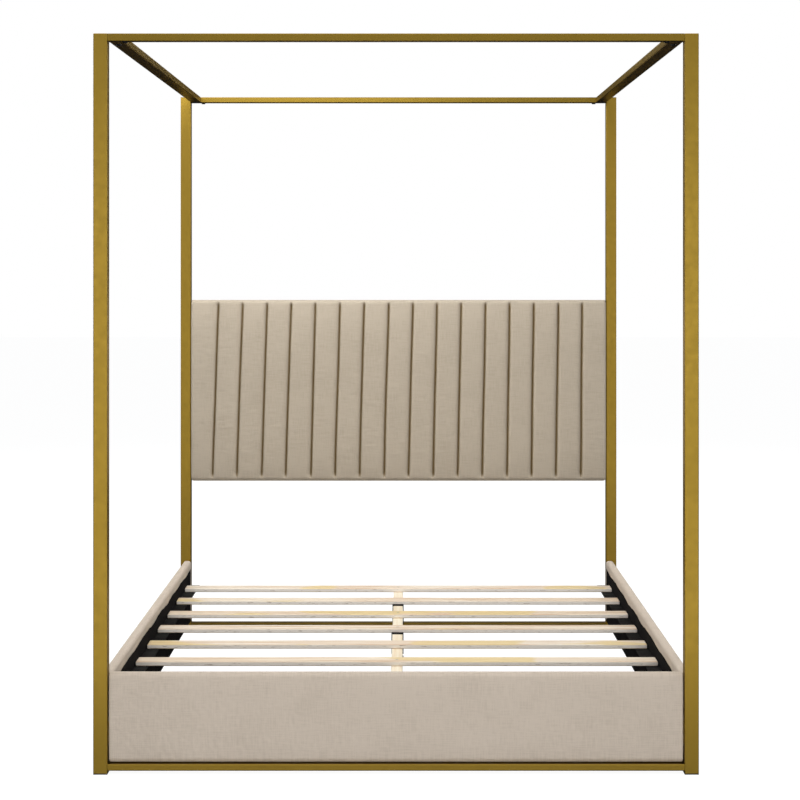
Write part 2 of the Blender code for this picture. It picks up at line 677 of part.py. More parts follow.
def add_leveller(index, y, materials):
    """A levelling foot: its origin and its screw lie on the axis that it travels along."""
    profile = [
        (LEVELLER_PAD_RADIUS - LEVELLER_BEVEL, 0.0),
        (LEVELLER_PAD_RADIUS, LEVELLER_BEVEL),
        (LEVELLER_PAD_RADIUS, LEVELLER_PAD_HEIGHT - LEVELLER_BEVEL),
        (LEVELLER_PAD_RADIUS - LEVELLER_BEVEL, LEVELLER_PAD_HEIGHT),
        (LEVELLER_STEM_RADIUS, LEVELLER_PAD_HEIGHT),
        (LEVELLER_STEM_RADIUS, LEVELLER_TOP),
    ]
    name = f"levelling_foot_{index}"
    foot = add_turned(name, profile, ROUND_SIDES, materials["black_plastic"], (0.0, y, 0.0))
    shade_round(foot)


def main():
    clear_scene()
    materials = make_materials()
    posts = make_posts(materials)
    make_post_feet(materials)
    beams = make_beams(materials)
    make_bottom_rails(materials)
    rails = make_canopy_rails(materials)
    make_stub_bolts(posts, beams, rails, materials)
    make_side_rails(posts, materials)
    make_footboard(posts, materials)
    make_headboard(posts, materials)
    slats = make_slats(materials)
    make_ledges(materials)
    make_centre_beam(slats, materials)
    make_beam_hanger(materials)
    make_centre_legs(materials)


main()
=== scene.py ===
"""The looks of a four poster canopy bed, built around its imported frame.

The steel, the slats and the other hard pieces are the frame's own nodes with finished materials.
The four upholstered pieces are skins of woven linen: nets of quads wrapped round the frame's
plain pads, then settled by cloth simulation. Metres, in the frame's own axes.
"""

import json
import math

import bpy
import numpy as np
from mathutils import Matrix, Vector, noise

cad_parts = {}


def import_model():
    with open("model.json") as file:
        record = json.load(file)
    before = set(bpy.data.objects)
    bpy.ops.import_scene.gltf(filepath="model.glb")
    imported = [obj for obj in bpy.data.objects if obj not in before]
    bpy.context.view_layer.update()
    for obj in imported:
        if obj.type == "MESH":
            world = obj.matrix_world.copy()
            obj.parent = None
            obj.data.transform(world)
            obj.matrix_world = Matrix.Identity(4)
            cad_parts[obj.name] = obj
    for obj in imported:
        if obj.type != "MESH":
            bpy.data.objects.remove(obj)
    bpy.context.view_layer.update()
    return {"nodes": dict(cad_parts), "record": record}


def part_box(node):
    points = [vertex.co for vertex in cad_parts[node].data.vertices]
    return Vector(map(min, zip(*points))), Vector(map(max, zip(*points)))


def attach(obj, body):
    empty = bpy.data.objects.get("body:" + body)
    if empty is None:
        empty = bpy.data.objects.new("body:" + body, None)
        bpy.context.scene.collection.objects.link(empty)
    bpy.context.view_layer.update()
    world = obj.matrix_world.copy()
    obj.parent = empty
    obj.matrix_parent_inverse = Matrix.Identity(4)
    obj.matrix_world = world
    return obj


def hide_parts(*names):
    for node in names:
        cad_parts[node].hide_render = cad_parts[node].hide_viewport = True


# ---------------------------------------------------------------- camera and light
CAMERA_PLACE = (0.024, -6.487, 1.372)
FOCAL_LENGTH = 91.2  # millimetres, on a sensor SENSOR_WIDTH wide
SENSOR_WIDTH = 36.0
LENS_SHIFT = (-0.00625, -0.17375)  # the view is level, and framed by shifting the lens

# Each light: where it is, what it faces, its width and height, and its power.
LIGHTS = {
    "top_light": ((-0.2, -0.5, 2.8), (0.0, -0.4, 0.2), (2.8, 2.2), 36.0),
    "headboard_light": ((-0.6, 0.45, 2.2), (-0.1, 1.05, 1.1), (2.0, 0.5), 10.0),
    "front_light": ((0.0, -3.6, 1.1), (0.0, 0.0, 1.1), (3.6, 1.9), 32.0),
    "low_light": ((0.0, -2.6, 0.12), (0.0, 0.0, 0.3), (3.2, 0.2), 5.0),
    "left_light": ((-4.5, 0.5, 3.0), (0.0, 0.0, 1.0), (3.0, 1.6), 60.0),
    "right_light": ((4.5, 0.5, 3.0), (0.0, 0.0, 1.0), (3.0, 1.6), 60.0),
    "back_light": ((0.0, 5.5, 4.4), (0.0, 1.0, 0.9), (3.0, 2.0), 50.0),
    "back_left_light": ((-5.5, 5.5, 1.9), (0.0, 0.5, 0.8), (2.6, 2.6), 80.0),
    "back_right_light": ((5.5, 5.5, 1.9), (0.0, 0.5, 0.8), (2.6, 2.6), 80.0),
}
SKY_BRIGHT = (0.60, 0.61, 0.63)
SKY_DARK = (0.012, 0.012, 0.013)
SKY_LEAN = (-0.2, 1.1)  # the lean forwards and up at which the sky is darkest and brightest
FLOOR_SIZE = 60.0
FLOOR_GLOW = 0.93
FLOOR_GREY = 0.20

# ---------------------------------------------------------------- colours, most as (dark, light)
GOLD = ((0.245, 0.157, 0.023), (0.285, 0.183, 0.028))
SHADED_GOLD_NODES = ("front_top_beam", "rear_top_beam", "rear_bottom_rail")  # painted shade: these pieces get a darker copy of the gold
# how much darker the painted shade makes the gold on those pieces
GOLD_PAINTED_SHADE = 0.78
POWDER_BLACK = (0.0022, 0.0022, 0.0022)
BOLT_BLACK = (0.008, 0.008, 0.008)
ZINC = (0.55, 0.52, 0.45)
PLASTIC = ((0.003, 0.003, 0.003, 1), (0.009, 0.009, 0.008, 1))
LINING = ((0.005, 0.0045, 0.0045, 1), (0.017, 0.015, 0.015, 1))
LINEN_BEIGE = ((0.500, 0.420, 0.334), (0.675, 0.578, 0.476))
LINEN_SHEEN = (1.0, 0.88, 0.72, 1)
HEADBOARD_SHADE_TINT = (0.79, 0.79, 0.745)  # painted shade: the headboard's linen is made darker than the rest, and a little less blue
# painted shade: the brown that darkens the linen in the seams' grooves
SEAM_SHADE_BROWN = (0.215, 0.145, 0.055, 1)
THREAD_BROWN = ((0.085, 0.055, 0.032, 1), (0.150, 0.105, 0.065, 1))
SLAT_CREAM = ((0.86, 0.74, 0.58, 1), (0.90, 0.80, 0.66, 1))
SLAT_GRAIN = (0.66, 0.44, 0.27, 1)
SLAT_STAIN = (0.78, 0.60, 0.28, 1)
SLAT_PLIES = ((0.92, 0.82, 0.70, 1), (0.97, 0.91, 0.82, 1))
SLAT_VOID = (0.20, 0.11, 0.05, 1)
PLY_COUNT = 9
PINE = ((0.97, 0.88, 0.70, 1), (0.84, 0.68, 0.46, 1))  # light between the rings, dark on them
CLOUD_RANGE = (0.3, 0.7)  # nearly all values of a noise texture lie in it

# ---------------------------------------------------------------- upholstery
LINEN = 0.0010  # thickness of the linen
THREAD = 0.0012  # pitch of its threads
STREAKS = (380, 22)  # thick and thin threads come this often across and along themselves, to the metre
LINEN_GAP = 0.0002  # between the linen and the board that it wraps
NET = 0.0065  # side of the net's quads
EDGE_CELLS = 4  # cells across a rounded edge
FLAT = 0.001  # a point this near a face of its slab is on it
TINY = 1e-9  # stands in for a length of nothing, which can't be divided by
HEM = 0.030  # how far the linen wraps onto a board's inner face
FOOTBOARD_HEM = 0.040  # the same for the footboard, down its back
END_HEM = 0.011  # the same at a side rail's ends
HEM_WANDER = 0.007  # how far the hem's edge may stray
HEM_WAVES = (5.0, 16.0)  # how often it strays, broadly and finely, to the metre
HEM_WANDER_DEPTH = (0.002, 0.016)  # it strays fully up to this far above the edge, and not beyond
FOOTBOARD_RADII = (0.004, 0.010, 0.012)  # of the rounded edges, along each axis
SIDE_RAIL_RADII = (0.010, 0.005, 0.010)
HEADBOARD_RADII = (0.010, 0.014, 0.014)
HEADBOARD_BACK_RADIUS = 0.002
CHANNELS = 17
SEAM_DEPTH = 0.016  # from the crown of a channel to the seam beside it
# How far from a seam the channel starts to fall, and how suddenly: to its left, then to its right.
SEAM_REACH = (0.034, 0.024)
SEAM_SHARPNESS = (4.5, 7.0)
SEAM_STEPS = (0.0, 0.0012, 0.0028, 0.006, 0.011, 0.017, 0.024, 0.031, 0.038)  # columns beside a seam
STITCH_PITCH = 0.006
STITCH_RADIUS = 0.0007
STITCH_SIDES = 6
STITCH_START = 0.3  # the stitches start where a seam is this deep, of 1
# Along a stitch: how far on (of its pitch), how thick and how far into the linen (of its radius).
STITCH_SHAPE = ((0.10, 0.35, 1.2), (0.30, 1.0, 0.0), (0.70, 1.0, 0.0), (0.90, 0.35, 1.2))
SEAM_LEAN = 0.012  # how far the seams at the left end lean off plumb, each way from mid height
SEAM_WANDER = 0.002  # how far a seam strays from its straight line
SEAM_WANDER_RATE = (0.9, 3.0)  # how often it does, to the channel across and to the metre up
SEAM_SHADE_SPREAD = (0.0010, 0.0060)  # painted shade: the linen is darkened brown up to this far from a seam, and it fades by that far
SEAM_TOP = (0.022, 0.006)  # below the top, a seam is full deep at the first and gone at the second
SEAM_BOTTOM = (0.028, 0.010)  # the same above the bottom
# A crown: how far the padding falls back towards its top and bottom, and the depth over which that
# fades to nothing.
CROWN, CROWN_DEPTH = 0.005, 0.015
HEADBOARD_CROWN, HEADBOARD_CROWN_DEPTH = 0.013, 0.028
CROWN_SHARPNESS = 5  # the higher, the nearer to the top and bottom it falls
RIPPLE = 0.0003
HEADBOARD_RIPPLE = 0.0005
RIPPLE_BROAD = (14.0, 34.0)  # how often the ripples come along a piece and up it, to the metre
RIPPLE_FINE = (40.0, 60.0)

# ---------------------------------------------------------------- cloth settling
SETTLE_FRAMES = 20
FOAM = 0.30  # how hard foam holds the cloth over it, of 1
PUFF = 2.5  # pressure under the cloth
SLACK, MOST = 0.008, 0.003  # how much too large it is cut, and how far it may move
HEADBOARD_SLACK, HEADBOARD_MOST = 0.003, 0.004
# Cloth is held fully up to the first distance from a place, and no more beyond the second.
HELD_BACK = (0.006, 0.014)  # from the footboard's back
HELD_INNER = (0.004, 0.012)  # from a side rail's inner face
HELD_BOTTOM = (0.002, 0.006)
HELD_HEADBOARD = (0.030, 0.040)  # from the headboard's back
HELD_SEAM = (0.002, 0.009)

# ---------------------------------------------------------------- small fixings
CLOTH_THICK = 0.0005  # lining cloth on the headboard's back
CLOTH_CELL = 0.012
CLOTH_SAG = 0.0007  # how far it lies down onto the board between its edges
CLOTH_WAVES = (9.0, 30.0)  # how often that varies, broadly and finely, to the metre
STAPLE_PITCH = 0.045
STAPLE_INSET = 0.006  # from the edge that the staples hold
STAPLE_HALF = 0.005  # half of a staple's length
STAPLE_WIDTH = 0.0012
STAPLE_RISE = 0.0005
LEDGE_WALL = 0.0025  # thickness of the slat ledges' steel
LEDGE_SCREWS = 7
WELD_RADIUS = 0.0015
WELD_RIPPLE = 0.0018  # pitch of a weld's ripples
WELD_SIDES = 8
WELD_VALLEY = 0.86  # a bead's radius between its ripples, and at its ends, of 1
WELD_END = 0.4
ROUND_SIDES = 12
STAPLE_PATH = ((-1.0, -0.6), (-0.86, 1.0), (0.86, 1.0), (1.0, -0.6))  # half-lengths along, rises up
SCREW_PROFILE = ((0.0045, 0.0), (0.0044, 0.0012), (0.0036, 0.0021), (0.0020, 0.0025), (0.0016, 0.0014))
CREASE = 40  # degrees: sharper edges of a fixing are not smoothed over


def node_box(*nodes):
    """The box round several CAD nodes, as two arrays."""
    boxes = [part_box(node) for node in nodes]
    low = np.min([np.array(box[0]) for box in boxes], axis=0)
    high = np.max([np.array(box[1]) for box in boxes], axis=0)
    return low, high


# ---------------------------------------------------------------- stage
def aim(thing, position, target):
    """Puts a thing at a position, looking at the target."""
    thing.location = position
    direction = Vector(target) - Vector(position)
    thing.rotation_euler = direction.to_track_quat("-Z", "Y").to_euler()


def add_camera():
    lens = bpy.data.cameras.new("camera")
    lens.lens = FOCAL_LENGTH
    lens.sensor_width = SENSOR_WIDTH
    lens.shift_x, lens.shift_y = LENS_SHIFT
    camera = bpy.data.objects.new("camera", lens)
    camera.location = CAMERA_PLACE
    camera.rotation_euler = (math.radians(90), 0, 0)
    bpy.context.scene.collection.objects.link(camera)
    bpy.context.scene.camera = camera


def add_light(name, position, target, size, power):
    lamp = bpy.data.lights.new(name, "AREA")
    lamp.shape = "RECTANGLE"
    lamp.size, lamp.size_y = size
    lamp.energy = power
    light = bpy.data.objects.new(name, lamp)
    aim(light, position, target)
    light.visible_camera = False
    bpy.context.scene.collection.objects.link(light)


def add_world():
    """White to the camera. To everything else, a sky that is bright above and in front, else dark."""
    world = bpy.data.worlds.new("studio")
    bpy.context.scene.world = world
    world.use_nodes = True
    tree = world.node_tree
    tree.nodes.clear()
    axes = add_node(tree, "TexCoord", {}).outputs["Generated"]
    axes = add_node(tree, "SeparateXYZ", {"Vector": axes}).outputs
    lean = maths(tree, "SUBTRACT", maths(tree, "MULTIPLY", axes["Z"], 0.5), axes["Y"])
    sky = mix(tree, spread(tree, lean, *SKY_LEAN), (*SKY_DARK, 1), (*SKY_BRIGHT, 1))
    lighting = add_node(tree, "Background", {"Color": sky})
    backdrop = add_node(tree, "Background", {"Color": (1, 1, 1, 1)})
    path = add_node(tree, "LightPath", {})
    shown = add_node(tree, "MixShader", {
        0: path.outputs["Is Camera Ray"],
        1: lighting.outputs["Background"],
        2: backdrop.outputs["Background"],
    })
    add_node(tree, "OutputWorld", {"Surface": shown.outputs["Shader"]})


def add_floor():
    """A pale floor. It glows a little, so that it meets the white backdrop with no line."""
    half = FLOOR_SIZE / 2
    corners = [(-half, -half, 0), (half, -half, 0), (half, half, 0), (-half, half, 0)]
    floor = new_piece("floor", corners, [(0, 1, 2, 3)])
    material, tree, shader = new_finish("floor_paint", roughness=0.9)
    shader.inputs["Base Color"].default_value = (FLOOR_GREY, FLOOR_GREY, FLOOR_GREY, 1)
    shader.inputs["Specular IOR Level"].default_value = 0.0
    shader.inputs["Emission Color"].default_value = (1, 1, 1, 1)
    shader.inputs["Emission Strength"].default_value = FLOOR_GLOW
    floor.data.materials.append(material)
    floor.visible_diffuse = False
    floor.visible_glossy = False


# ---------------------------------------------------------------- node helpers
def add_node(tree, kind, inputs, **settings):
    """A new node, whose inputs are linked to the sockets or set to the values given."""
    node = tree.nodes.new("ShaderNode" + kind)
    for name, value in settings.items():
        setattr(node, name, value)
    for name, value in inputs.items():
        if isinstance(value, bpy.types.NodeSocket):
            tree.links.new(value, node.inputs[name])
        else:
            node.inputs[name].default_value = value
    return node


def new_finish(name, roughness, metallic=0.0):
    material = bpy.data.materials.new(name)
    material.use_nodes = True
    tree = material.node_tree
    shader = tree.nodes["Principled BSDF"]
    shader.inputs["Roughness"].default_value = roughness
    shader.inputs["Metallic"].default_value = metallic
    return material, tree, shader


def place(tree, scale=(1, 1, 1)):
    """The point's own place on the piece, in metres times scale."""
    source = add_node(tree, "TexCoord", {})
    return stretch(tree, source.outputs["Object"], scale)


def stretch(tree, vector, scale):
    return add_node(tree, "Mapping", {"Vector": vector, "Scale": scale}).outputs["Vector"]


def cloud(tree, vector, scale=1.0, detail=2.0):
    inputs = {"Vector": vector, "Scale": scale, "Detail": detail}
    return add_node(tree, "TexNoise", inputs).outputs["Fac"]


def maths(tree, operation, first, second=0.0):
    return add_node(tree, "Math", {0: first, 1: second}, operation=operation).outputs[0]


def spread(tree, value, low, high, to_low=0.0, to_high=1.0):
    """The value mapped from low..high to to_low..to_high, and held there."""
    inputs = {"Value": value, "From Min": low, "From Max": high, "To Min": to_low, "To Max": to_high}
    return add_node(tree, "MapRange", inputs).outputs["Result"]


def mix(tree, share, first, second):
    """A colour that goes from first to second as share goes from 0 to 1."""
    return add_node(tree, "Mix", {0: share, 6: first, 7: second}, data_type="RGBA").outputs[2]


def bump(tree, height, distance, strength):
    inputs = {"Height": height, "Distance": distance, "Strength": strength}
    return add_node(tree, "Bump", inputs).outputs["Normal"]


def join(tree, shader, **links):
    for name, socket in links.items():
        tree.links.new(socket, shader.inputs[name.replace("_", " ")])


# ---------------------------------------------------------------- materials
def gold_metal(name, shade):
    """Satin gold lacquer on steel: a fine pebble, and faint cloudy wear in colour and gloss."""
    material, tree, shader = new_finish(name, 0.4, metallic=1.0)
    broad = cloud(tree, place(tree), scale=5.0, detail=3.0)
    fine = cloud(tree, place(tree), scale=900.0, detail=2.0)
    wear = cloud(tree, place(tree), scale=60.0, detail=4.0)
    colour = mix(tree, broad, *((*(shade * part for part in colour), 1) for colour in GOLD))
    rough = spread(tree, wear, *CLOUD_RANGE, 0.34, 0.44)
    relief = bump(tree, fine, distance=0.0002, strength=0.35)
    join(tree, shader, Base_Color=colour, Roughness=rough, Normal=relief)
    return material


def powder_coat(name, colour, roughness):
    """Black powder coating: fine orange peel, a little duller in patches."""
    material, tree, shader = new_finish(name, roughness)
    peel = cloud(tree, place(tree), scale=500.0, detail=2.0)
    dust = cloud(tree, place(tree), scale=30.0, detail=4.0)
    dark = (*colour, 1)
    light = (*(2.2 * part for part in colour), 1)
    rough = spread(tree, dust, *CLOUD_RANGE, roughness - 0.06, roughness + 0.08)
    relief = bump(tree, peel, distance=0.0004, strength=0.4)
    join(tree, shader, Base_Color=mix(tree, dust, dark, light), Roughness=rough, Normal=relief)
    shader.inputs["Specular IOR Level"].default_value = 0.12
    return material


def black_plastic():
    """Moulded plastic: a fine grain, and grey scuffs across it."""
    material, tree, shader = new_finish("black_plastic", 0.55)
    grain = cloud(tree, place(tree), scale=1500.0, detail=3.0)
    scuff = cloud(tree, place(tree, (60, 60, 200)), detail=3.0)
    rough = spread(tree, scuff, *CLOUD_RANGE, 0.48, 0.66)
    relief = bump(tree, grain, distance=0.0002, strength=0.5)
    join(tree, shader, Base_Color=mix(tree, scuff, *PLASTIC), Roughness=rough, Normal=relief)
    return material


def bright_steel(name, colour, roughness):
    """Zinc plate with a faint brushed cloudiness."""
    material, tree, shader = new_finish(name, roughness, metallic=0.9)
    haze = cloud(tree, place(tree), scale=250.0, detail=3.0)
    dull = (*(0.7 * part for part in colour), 1)
    rough = spread(tree, haze, *CLOUD_RANGE, roughness - 0.08, roughness + 0.10)
    relief = bump(tree, haze, distance=0.0001, strength=0.3)
    join(tree, shader, Base_Color=mix(tree, haze, dull, (*colour, 1)), Roughness=rough, Normal=relief)
    return material


def black_lining(name):
    """Spun black lining cloth glued over a board: dimpled, with stray paler fibres."""
    material, tree, shader = new_finish(name, 0.92)
    dimples = add_node(tree, "TexVoronoi", {"Vector": place(tree), "Scale": 600.0}).outputs["Distance"]
    fibres = cloud(tree, place(tree), scale=320.0, detail=5.0)
    colour = mix(tree, spread(tree, fibres, 0.35, 0.75), *LINING)
    relief = bump(tree, dimples, distance=0.0004, strength=0.6)
    join(tree, shader, Base_Color=colour, Normal=relief)
    shader.inputs["Specular IOR Level"].default_value = 0.05
    return material


def beige_linen(name, run, tint=(1.0, 1.0, 1.0), is_sewn=False):
    """Plain woven linen. Its weft runs along the axis run, and its warp goes up.

    Thick and thin threads show as short streaks both ways, over a broad cloudiness. Sewn linen
    has painted shade in its seams: it is darkened brown where the mesh's attribute seam_shade is 1.
    """
    material, tree, shader = new_finish(name, 0.9)
    source = add_node(tree, "TexCoord", {})
    axes = add_node(tree, "SeparateXYZ", {"Vector": source.outputs["Object"]}).outputs
    across = "Y" if run == "X" else "X"
    along = axes[run]
    up = maths(tree, "ADD", axes["Z"], axes[across])
    plane = add_node(tree, "CombineXYZ", {"X": along, "Y": up}).outputs["Vector"]

    def streaks(scale):
        return spread(tree, cloud(tree, stretch(tree, plane, scale), detail=3.0), *CLOUD_RANGE)

    often, seldom = STREAKS
    slub = maths(tree, "ADD", streaks((often, seldom, 1)), streaks((seldom, often, 1)))
    patch = cloud(tree, source.outputs["Object"], scale=9.0, detail=2.0)
    share = maths(tree, "MULTIPLY_ADD", slub, 0.4)
    share = maths(tree, "ADD", share, spread(tree, patch, *CLOUD_RANGE, -0.12, 0.12))
    colour = mix(tree, share, *((*(np.array(colour) * tint), 1) for colour in LINEN_BEIGE))
    turns = 2 * math.pi / THREAD
    over = maths(tree, "SINE", maths(tree, "MULTIPLY", along, turns))
    under = maths(tree, "SINE", maths(tree, "MULTIPLY", up, turns))
    weave = maths(tree, "ADD", maths(tree, "MULTIPLY", over, under), slub)
    if is_sewn:
        # painted shade: the linen darkens to brown in its seams
        seam_shade = add_node(tree, "Attribute", {}, attribute_name="seam_shade").outputs["Fac"]
        colour = mix(tree, seam_shade, colour, SEAM_SHADE_BROWN)
    join(tree, shader, Base_Color=colour, Normal=bump(tree, weave, distance=0.0003, strength=0.6))
    shader.inputs["Sheen Weight"].default_value = 0.08
    shader.inputs["Sheen Roughness"].default_value = 0.5
    shader.inputs["Sheen Tint"].default_value = LINEN_SHEEN
    shader.inputs["Specular IOR Level"].default_value = 0.2
    return material


def sewing_thread():
    """Brown twisted thread: fine slanting ridges, and a lighter ply in places."""
    material, tree, shader = new_finish("sewing_thread", 0.7)
    twist = cloud(tree, place(tree, (900, 900, 2600)), detail=2.0)
    fade = cloud(tree, place(tree), scale=60.0, detail=2.0)
    relief = bump(tree, twist, distance=0.0002, strength=0.6)
    join(tree, shader, Base_Color=mix(tree, fade, *THREAD_BROWN), Normal=relief)
    return material


def slat_plywood():
    """Poplar plywood: pale faces with a fine grain, and edges that show their plies and dark voids.

    Each slat has its own shade of cream.
    """
    material, tree, shader = new_finish("slat_plywood", 0.55)
    low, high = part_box("slat_1")
    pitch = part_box("slat_2")[0].y - low.y
    source = add_node(tree, "TexCoord", {})
    axes = add_node(tree, "SeparateXYZ", {"Vector": source.outputs["Object"]}).outputs
    slats_back = maths(tree, "DIVIDE", maths(tree, "SUBTRACT", axes["Y"], low.y), pitch)
    number = maths(tree, "FLOOR", slats_back)
    own = add_node(tree, "TexWhiteNoise", {"W": number}, noise_dimensions="1D").outputs["Value"]
    grain = cloud(tree, place(tree, (3, 110, 110)), detail=4.0)
    fibre = cloud(tree, place(tree, (14, 900, 900)), detail=2.0)
    stain = cloud(tree, place(tree, (2.2, 5, 5)), detail=2.0)
    cream = mix(tree, own, *SLAT_CREAM)
    grained = mix(tree, spread(tree, grain, 0.44, 0.68), cream, SLAT_GRAIN)
    face = mix(tree, spread(tree, stain, 0.57, 0.60, 0.0, 0.8), grained, SLAT_STAIN)
    rise = maths(tree, "SUBTRACT", axes["Z"], low.z)
    layer = maths(tree, "PINGPONG", maths(tree, "MULTIPLY", rise, PLY_COUNT / (high.z - low.z)), 1.0)
    layers = mix(tree, spread(tree, layer, 0.35, 0.65), *SLAT_PLIES)
    voids = cloud(tree, place(tree, (30, 30, 500)), detail=3.0)
    edge = mix(tree, spread(tree, voids, 0.61, 0.69, 0.0, 0.85), layers, SLAT_VOID)
    normal = add_node(tree, "NewGeometry", {}).outputs["Normal"]
    facing_up = maths(tree, "ABSOLUTE", add_node(tree, "SeparateXYZ", {"Vector": normal}).outputs["Z"])
    colour = mix(tree, spread(tree, facing_up, 0.4, 0.6), edge, face)
    relief = bump(tree, maths(tree, "ADD", grain, fibre), distance=0.0004, strength=0.5)
    join(tree, shader, Base_Color=colour, Normal=relief)
    return material


def pine():
    """Planed pine: growth rings and fibres drawn out along the beam."""
    material, tree, shader = new_finish("pine", 0.5)
    rings = cloud(tree, place(tree, (90, 2.5, 90)), detail=3.0)
    fibre = cloud(tree, place(tree, (700, 12, 700)), detail=2.0)
    colour = mix(tree, spread(tree, rings, 0.35, 0.70), *PINE)
    relief = bump(tree, maths(tree, "ADD", rings, fibre), distance=0.0004, strength=0.5)
    join(tree, shader, Base_Color=colour, Normal=relief)
    return material


def finish_frame(frame):
    """Gives each CAD node the finish of its slot in the record, and returns the finishes.

    The pads are left as they are, since linen takes their place.
    """
    finishes = {
        "gold_metal": gold_metal("gold_metal", shade=1.0),
        "black_steel": powder_coat("black_steel", POWDER_BLACK, roughness=0.7),
        "black_bolt": powder_coat("black_bolt", BOLT_BLACK, roughness=0.35),
        "screw_steel": bright_steel("screw_steel", ZINC, roughness=0.4),
        "black_plastic": black_plastic(),
        "lined_board": black_lining("lined_board"),
        "black_cloth": black_lining("black_cloth"),
        "slat_plywood": slat_plywood(),
        "pine": pine(),
    }
    # painted shade: a darker copy of the gold for the beams and the rear rail
    painted_shade_gold = gold_metal("painted_shade_gold_metal", shade=GOLD_PAINTED_SHADE)
    for part in frame["record"]["subparts"]:
        finish = finishes.get(part["material_slot"])
        if part["node"] in SHADED_GOLD_NODES:
            finish = painted_shade_gold
        if finish is not None:
            mesh = frame["nodes"][part["node"]].data
            mesh.materials.clear()
            mesh.materials.append(finish)
    return finishes


# ---------------------------------------------------------------- meshes
def new_piece(name, corners, faces):
    """A smooth-shaded piece from its corners and faces."""
    mesh = bpy.data.meshes.new(name)
    mesh.from_pydata([tuple(corner) for corner in corners], [], faces)
    mesh.shade_smooth()
    piece = bpy.data.objects.new(name, mesh)
    bpy.context.scene.collection.objects.link(piece)
    return piece


def stations(low, high, radius, cell):
    """Places along one side of a slab: close together over its rounded ends, and even between them."""
    inner = max(1, round((high - low - 2 * radius) / cell))
    start = np.linspace(low, low + radius, EDGE_CELLS, endpoint=False)
    middle = np.linspace(low + radius, high - radius, inner, endpoint=False)
    end = np.linspace(high - radius, high, EDGE_CELLS + 1)
    return np.concatenate([start, middle, end])


def slab_lines(low, high, radii):
    return [stations(low[a], high[a], radii[a], NET) for a in range(3)]


def slab_skin(name, lines, radii, is_open, back_radius=None):
    """The outside of a slab as a net of quads, its edges rounded to the three radii.

    lines holds the net's places along each axis, and is_open(centre) says which faces are left
    out, from each face's centre on the sharp slab. The radii change to back_radius, where one is
    given, towards the slab's +Y face. It also returns the points of the sharp slab.
    """
    low, high = (np.array([line[end] for line in lines]) for end in (0, -1))
    points, numbers, faces = [], {}, []

    def point(index):
        if index not in numbers:
            numbers[index] = len(points)
            points.append([lines[a][index[a]] for a in range(3)])
        return numbers[index]

    for a in range(3):
        b, c = (a + 1) % 3, (a + 2) % 3
        for side in (0, len(lines[a]) - 1):
            for j in range(len(lines[b]) - 1):
                for k in range(len(lines[c]) - 1):
                    corners = []
                    for step_b, step_c in ((0, 0), (1, 0), (1, 1), (0, 1)):
                        index = [0, 0, 0]
                        index[a], index[b], index[c] = side, j + step_b, k + step_c
                        corners.append(tuple(index))
                    square = [[lines[n][index[n]] for n in range(3)] for index in corners]
                    if is_open(np.mean(square, axis=0)):
                        continue
                    if side == 0:
                        corners.reverse()
                    faces.append([point(index) for index in corners])
    sharp = np.array(points)
    radii = np.tile(radii, (len(sharp), 1))
    if back_radius is not None:
        start, end = low[1] + radii[0, 1], high[1] - back_radius
        share = np.clip((sharp[:, 1:2] - start) / (end - start), 0, 1)
        radii = radii + (back_radius - radii) * share
    inner = np.clip(sharp, low + radii, high - radii)
    offset = (sharp - inner) / radii
    length = np.linalg.norm(offset, axis=1, keepdims=True)
    rounded = inner + offset / np.maximum(length, TINY) * radii
    return new_piece(name, rounded, faces), sharp


def read_points(piece):
    points = np.empty(len(piece.data.vertices) * 3)
    piece.data.vertices.foreach_get("co", points)
    return points.reshape(-1, 3)


def write_points(piece, points):
    piece.data.vertices.foreach_set("co", points.astype(np.float32).ravel())
    piece.data.update()


# ---------------------------------------------------------------- cloth
def settle(piece, held, slack, most):
    """Blows the skin up as cloth, held where held is 1, and keeps every point within most of its start.

    slack is how much larger than its place the cloth is cut, which makes its small creases.
    The foam behind it pulls every other point back to its start, as strongly as FOAM says.
    """
    start = read_points(piece)
    group = piece.vertex_groups.new(name="held")
    for index, hold in enumerate(np.maximum(held, FOAM)):
        group.add([index], float(hold), "REPLACE")
    cloth = piece.modifiers.new("cloth", "CLOTH")
    settings = cloth.settings
    settings.quality = 6
    settings.vertex_group_mass = "held"
    settings.use_pressure = True
    settings.uniform_pressure_force = PUFF
    settings.shrink_min = -slack
    settings.effector_weights.gravity = 0.0
    cloth.collision_settings.use_collision = False
    cloth.point_cache.frame_start = 1
    cloth.point_cache.frame_end = SETTLE_FRAMES
    scene = bpy.context.scene
    for frame_number in range(1, SETTLE_FRAMES + 1):
        scene.frame_set(frame_number)
    graph = bpy.context.evaluated_depsgraph_get()
    settled = np.empty(len(start) * 3)
    piece.evaluated_get(graph).data.vertices.foreach_get("co", settled)
    piece.modifiers.remove(cloth)
    piece.vertex_groups.clear()
    scene.frame_set(1)
    move = settled.reshape(-1, 3) - start
    length = np.linalg.norm(move, axis=1, keepdims=True)
    print(piece.name, "settled by up to", round(float(length.max()) * 1000, 1), "mm")
    write_points(piece, start + move * np.minimum(1.0, most / np.maximum(length, TINY)))


def thicken(piece, thickness):
    solid = piece.modifiers.new("thickness", "SOLIDIFY")
    solid.thickness = thickness
    solid.offset = -1.0


def subdivide(piece):
    smooth = piece.modifiers.new("smooth", "SUBSURF")
    smooth.levels = 1
    smooth.render_levels = 1


# ---------------------------------------------------------------- upholstered pieces
def dress(piece, material, *nodes, fill):
    """Finishes a linen skin and puts it in the place of the plain CAD pads."""
    piece.data.materials.append(material)
    subdivide(piece)
    thicken(piece, LINEN)
    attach(piece, "bed_frame")
    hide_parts(*nodes)


def grip(distance, full, free):
    """How much of an effect is left: 1 up to the distance full, and fading to 0 at the distance free.

    Where full is the larger, it is the other way round: 0 up to free, and 1 from full on.
    """
    return np.clip((free - distance) / (free - full), 0, 1)


